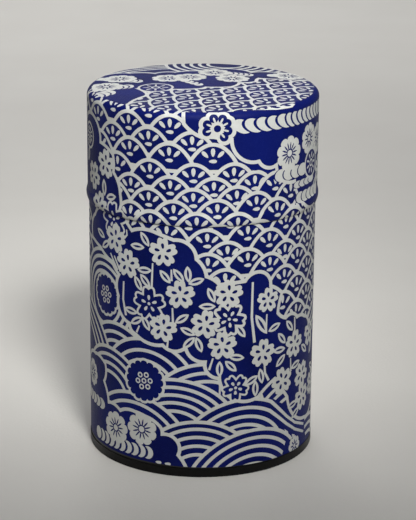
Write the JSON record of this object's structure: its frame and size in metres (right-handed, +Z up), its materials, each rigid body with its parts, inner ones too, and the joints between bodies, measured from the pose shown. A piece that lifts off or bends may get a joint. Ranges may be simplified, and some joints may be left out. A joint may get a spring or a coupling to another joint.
{
  "type": "round tea and spice tin",
  "caption": "Round paper-covered tinplate caddy with a tall lift-off outer lid, a bright neck and a knobbed drop-in inner lid on a black enamelled base.",
  "frame": {"origin": "centre of the resting face, on the tin's axis", "axes": "+Z up along the tin's axis, towards the lid; +Y towards the side seams at the back"},
  "size_m": [0.0808, 0.0808, 0.1297],
  "materials": {
    "printed_paper": "matte printed paper, indigo blue on off-white",
    "tinplate": "bright tinplate",
    "black_enamel": "satin black enamel"
  },
  "bodies": {
    "can": {"bottom_end": "black_enamel", "body_shell": "tinplate", "body_paper": "printed_paper", "inner_can": "tinplate"},
    "inner_lid": {"inner_lid_pan": "tinplate", "inner_lid_knob": "black_enamel", "knob_rivet": "tinplate", "knob_washer": "tinplate"},
    "outer_lid": {"lid_shell": "tinplate", "lid_top": "tinplate", "lid_side_paper": "printed_paper", "lid_top_paper": "printed_paper"}
  },
  "joints": [
    {"name": "inner_lid_lift", "type": "slide", "parent": "can", "child": "inner_lid", "axis": [0, 0, 1], "range_m": [0, 0.03]},
    {"name": "outer_lid_lift", "type": "slide", "parent": "inner_lid", "child": "outer_lid", "axis": [0, 0, 1], "range_m": [0, 0.045]}
  ]
}
